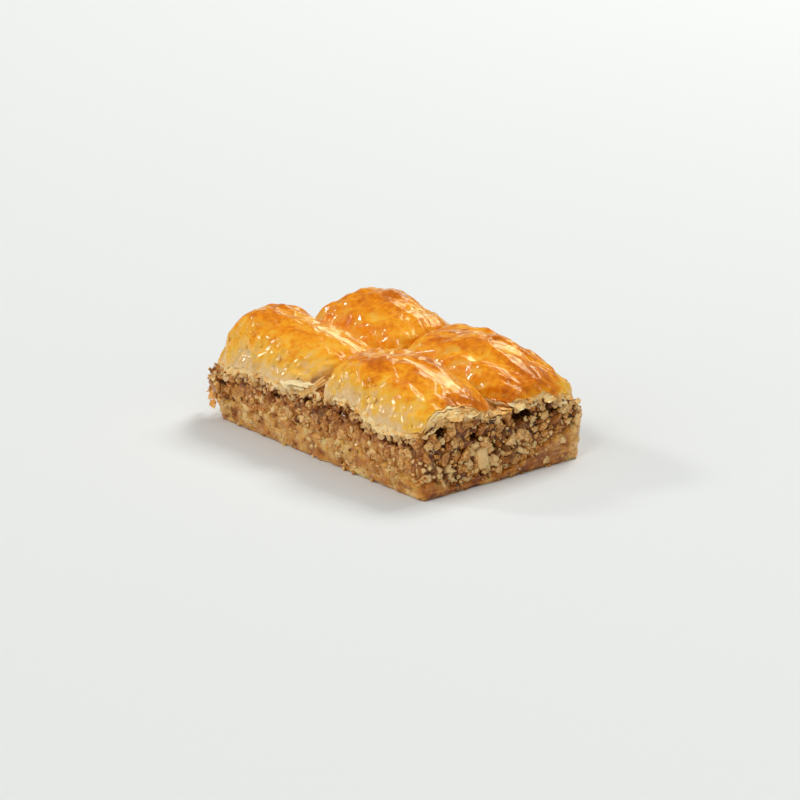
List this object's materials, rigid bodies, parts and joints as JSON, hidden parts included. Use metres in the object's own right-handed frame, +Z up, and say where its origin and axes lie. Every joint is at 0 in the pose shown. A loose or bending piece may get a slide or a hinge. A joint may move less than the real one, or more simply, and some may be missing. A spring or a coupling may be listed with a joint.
{
  "type": "walnut baklava",
  "caption": "Block of walnut baklava: puffed glossy pastry tops parted by knife cuts, a chopped nut layer that shows at the sides, and a syrup-soaked pastry base.",
  "frame": {"origin": "centre of the block's box, at the level of its underside", "axes": "+X along the block's long side, +Y along its short side, +Z up; the tops named left and back lie at -X, left and front at -Y"},
  "size_m": [0.1024, 0.0636, 0.0383],
  "materials": {
    "baked_crust": "golden brown baked pastry, glossy with syrup",
    "walnut_filling": "moist chopped walnuts with brown skins",
    "soaked_base": "dense syrup-soaked pastry sheets"
  },
  "bodies": {
    "root": {"base_pastry": "soaked_base", "nut_filling": "walnut_filling", "top_crust_left": "baked_crust", "top_crust_front": "baked_crust", "top_crust_right": "baked_crust", "top_crust_back": "baked_crust"}
  },
  "joints": []
}
